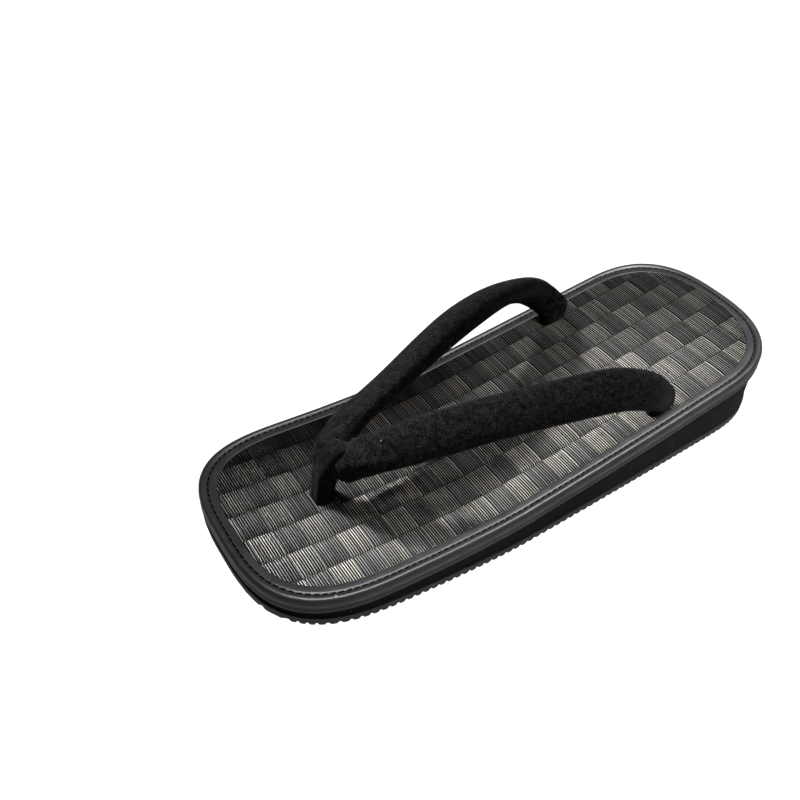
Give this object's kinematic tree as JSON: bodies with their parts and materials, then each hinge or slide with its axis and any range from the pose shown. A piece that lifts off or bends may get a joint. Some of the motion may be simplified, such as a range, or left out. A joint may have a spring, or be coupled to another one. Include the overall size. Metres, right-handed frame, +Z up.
{
  "type": "setta sandal",
  "caption": "Flat-soled sandal with a woven check footbed, bound rim, sponge wedge, waved rubber tread and a padded V strap held by a toe loop.",
  "frame": {"origin": "centre of the sandal's outline on the floor under its flat tread", "axes": "+X to the toe, +Y to one side, +Z up from the floor"},
  "size_m": [0.27, 0.097, 0.0626],
  "materials": {
    "tread_rubber": "matt black rubber with waved ribs",
    "sponge": "matt black closed-cell sponge",
    "vinyl_tape": "satin black vinyl tape, stitched",
    "woven_mat": "shiny woven rush-look strips in dark and khaki checks",
    "velvet": "black velvet nap over padding",
    "loop_velvet": "black velvet nap, folded into a loop"
  },
  "bodies": {
    "root": {"outsole": "tread_rubber", "midsole": "sponge", "edge_binding": "vinyl_tape", "footbed": "woven_mat", "strap": "velvet", "toe_post": "loop_velvet"}
  },
  "joints": []
}
